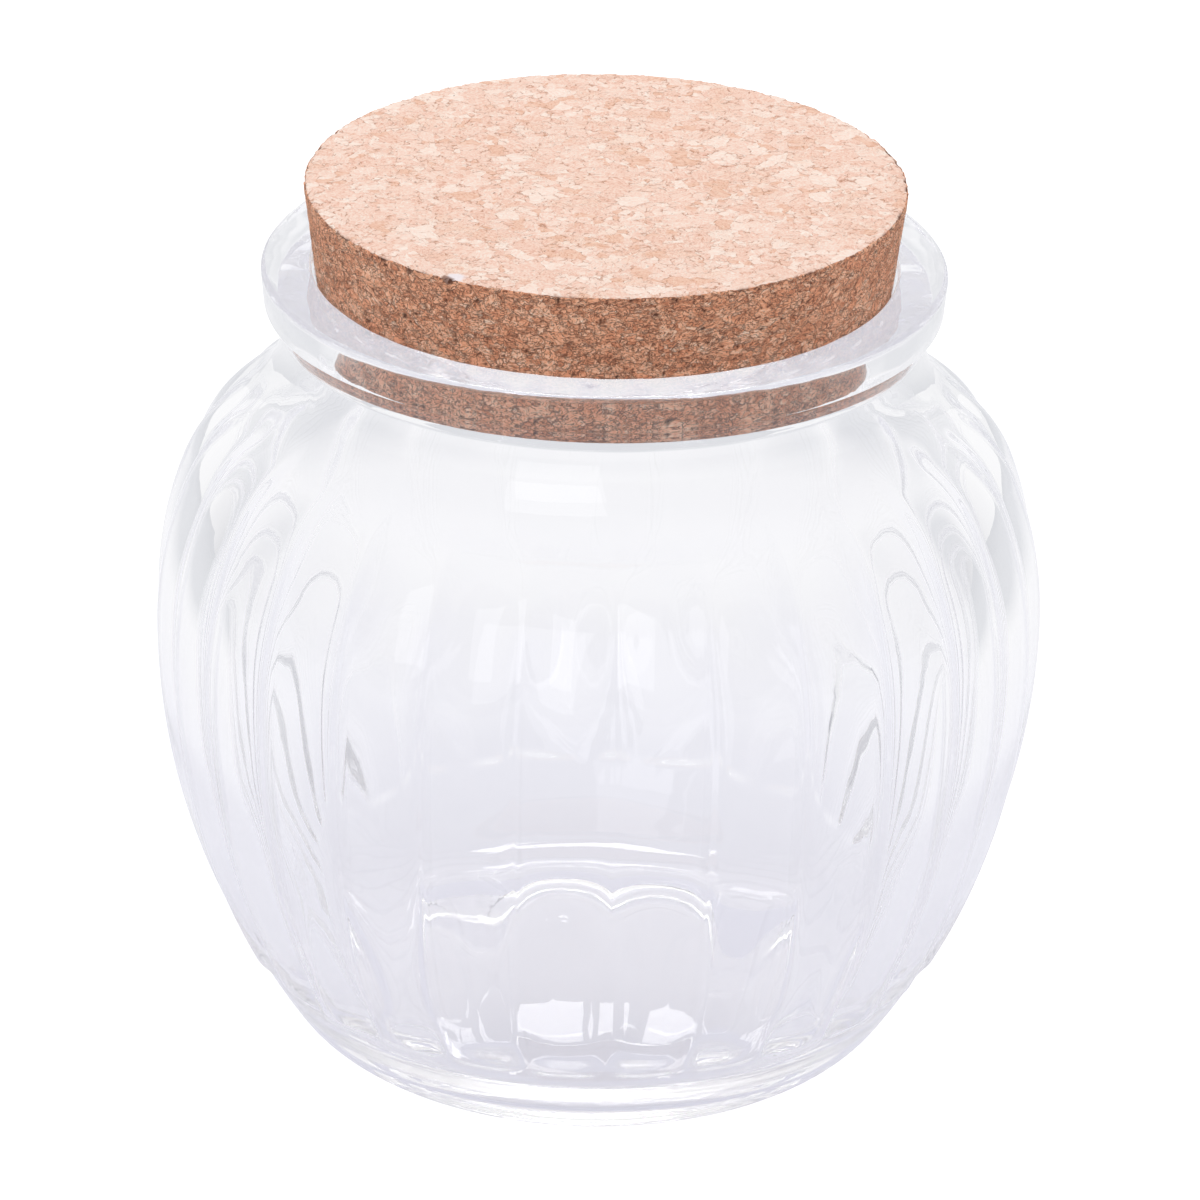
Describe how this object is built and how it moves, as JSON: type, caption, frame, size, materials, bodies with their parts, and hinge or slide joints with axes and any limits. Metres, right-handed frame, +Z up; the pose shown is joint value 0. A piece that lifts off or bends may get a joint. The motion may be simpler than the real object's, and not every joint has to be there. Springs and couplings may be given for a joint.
{
  "type": "glass jar with cork lid",
  "caption": "Round clear-glass storage jar with upright lobes all round, a rolled rim and a tapered cork stopper that lifts out.",
  "frame": {"origin": "on the jar's axis, in the plane of the foot ring that it stands on", "axes": "+Z up along the jar's axis, -Y towards the viewer of the picture, +X to the viewer's right"},
  "size_m": [0.1298, 0.1298, 0.1336],
  "materials": {
    "clear_glass": "clear fire-polished moulded glass",
    "agglomerated_cork": "sanded granulated cork with fine dark specks"
  },
  "bodies": {
    "jar": {"glass_jar": "clear_glass"},
    "lid": {"cork_lid": "agglomerated_cork"}
  },
  "joints": [
    {"name": "lid_lift", "type": "slide", "parent": "jar", "child": "lid", "axis": [0, 0, 1], "range_m": [0, 0.06]}
  ]
}
